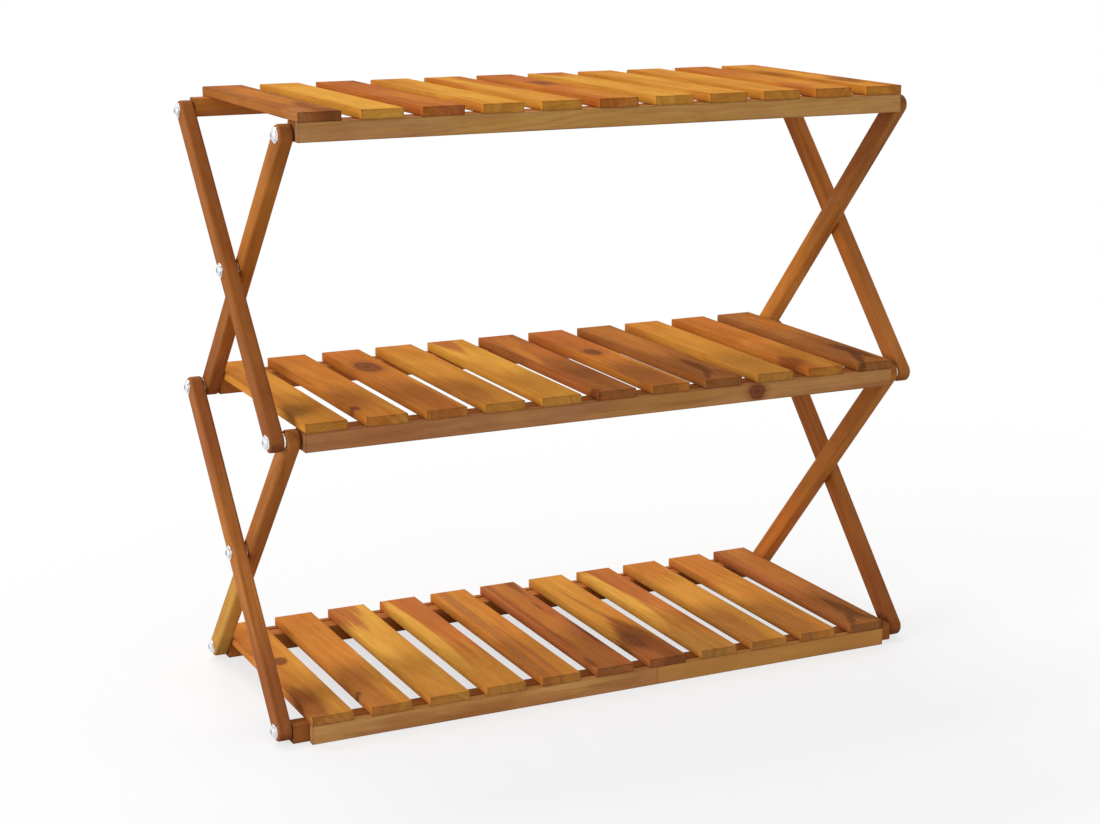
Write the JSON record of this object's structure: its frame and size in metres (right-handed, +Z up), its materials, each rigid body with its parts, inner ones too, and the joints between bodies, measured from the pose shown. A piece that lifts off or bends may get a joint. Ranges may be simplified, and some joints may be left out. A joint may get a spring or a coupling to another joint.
{
  "type": "folding shelf",
  "caption": "Free-standing slatted wooden rack whose crossed end legs fold flat like scissors while its shelf panels swing up.",
  "frame": {"origin": "floor level, under the middle of the open rack", "axes": "+X along the shelves, +Y from front to back, +Z up"},
  "size_m": [0.7762, 0.316, 0.65],
  "materials": {
    "slat_wood": "oiled hardwood, golden to red-brown heartwood",
    "apron_wood": "oiled hardwood, tan",
    "bar_wood": "oiled hardwood, deep red-brown",
    "leg_wood": "oiled hardwood, red-brown",
    "bright_steel": "bright zinc-plated steel"
  },
  "bodies": {
    "base": {"bottom_front_bar": "bar_wood", "bottom_front_pivots": "bright_steel"},
    "lower_outer_legs": {"lower_outer_leg_left": "leg_wood", "lower_outer_leg_right": "leg_wood"},
    "lower_inner_legs": {"lower_inner_leg_left": "leg_wood", "lower_inner_leg_right": "leg_wood", "lower_crossing_pivots": "bright_steel"},
    "upper_outer_legs": {"upper_outer_leg_left": "leg_wood", "upper_outer_leg_right": "leg_wood", "top_rear_bar": "bar_wood", "top_rear_pivots": "bright_steel"},
    "upper_inner_legs": {"upper_inner_leg_left": "leg_wood", "upper_inner_leg_right": "leg_wood", "middle_rear_bar": "bar_wood", "upper_inner_leg_pivots": "bright_steel"},
    "bottom_shelf": {"bottom_slat_01": "slat_wood", "bottom_slat_02": "slat_wood", "bottom_slat_03": "slat_wood", "bottom_slat_04": "slat_wood", "bottom_slat_05": "slat_wood", "bottom_slat_06": "slat_wood", "bottom_slat_07": "slat_wood", "bottom_slat_08": "slat_wood", "bottom_slat_09": "slat_wood", "bottom_slat_10": "slat_wood", "bottom_slat_11": "slat_wood", "bottom_front_apron": "apron_wood", "bottom_rear_apron": "apron_wood", "bottom_rear_bar": "bar_wood", "bottom_rear_pivots": "bright_steel"},
    "middle_shelf": {"middle_slat_01": "slat_wood", "middle_slat_02": "slat_wood", "middle_slat_03": "slat_wood", "middle_slat_04": "slat_wood", "middle_slat_05": "slat_wood", "middle_slat_06": "slat_wood", "middle_slat_07": "slat_wood", "middle_slat_08": "slat_wood", "middle_slat_09": "slat_wood", "middle_slat_10": "slat_wood", "middle_slat_11": "slat_wood", "middle_front_apron": "apron_wood", "middle_rear_apron": "apron_wood", "middle_front_bar": "bar_wood", "middle_front_pivots": "bright_steel"},
    "top_shelf": {"top_slat_01": "slat_wood", "top_slat_02": "slat_wood", "top_slat_03": "slat_wood", "top_slat_04": "slat_wood", "top_slat_05": "slat_wood", "top_slat_06": "slat_wood", "top_slat_07": "slat_wood", "top_slat_08": "slat_wood", "top_slat_09": "slat_wood", "top_slat_10": "slat_wood", "top_slat_11": "slat_wood", "top_front_apron": "apron_wood", "top_rear_apron": "apron_wood", "top_front_bar": "bar_wood", "top_front_pivots": "bright_steel"}
  },
  "joints": [
    {"name": "fold", "type": "hinge", "parent": "base", "child": "lower_outer_legs", "pos_m": [0, -0.1375, 0.0135], "axis": [1, 0, 0], "range_deg": [0, 37]},
    {"name": "lower_crossing", "type": "hinge", "parent": "lower_outer_legs", "child": "lower_inner_legs", "pos_m": [0, 0, 0.16675], "axis": [1, 0, 0], "range_deg": [-74.2, 0]},
    {"name": "middle_front_hinge", "type": "hinge", "parent": "lower_inner_legs", "child": "upper_outer_legs", "pos_m": [0, -0.1375, 0.32], "axis": [1, 0, 0], "range_deg": [0, 74.2]},
    {"name": "upper_crossing", "type": "hinge", "parent": "upper_outer_legs", "child": "upper_inner_legs", "pos_m": [0, 0, 0.47325], "axis": [1, 0, 0], "range_deg": [-74.2, 0]},
    {"name": "bottom_shelf_swing", "type": "hinge", "parent": "lower_inner_legs", "child": "bottom_shelf", "pos_m": [0, 0.1375, 0.0135], "axis": [1, 0, 0], "range_deg": [-52, 0]},
    {"name": "middle_shelf_swing", "type": "hinge", "parent": "upper_outer_legs", "child": "middle_shelf", "pos_m": [0, -0.1375, 0.32], "axis": [1, 0, 0], "range_deg": [0, 52]},
    {"name": "top_shelf_swing", "type": "hinge", "parent": "upper_inner_legs", "child": "top_shelf", "pos_m": [0, -0.1375, 0.6265], "axis": [1, 0, 0], "range_deg": [0, 126]}
  ],
  "couplings": [
    {"joint": "lower_crossing", "follows": "fold", "ratio": -2},
    {"joint": "middle_front_hinge", "follows": "fold", "ratio": 2},
    {"joint": "upper_crossing", "follows": "fold", "ratio": -2},
    {"joint": "bottom_shelf_swing", "follows": "fold", "ratio": -1.4},
    {"joint": "middle_shelf_swing", "follows": "fold", "ratio": 1.4},
    {"joint": "top_shelf_swing", "follows": "fold", "ratio": 3.4}
  ]
}
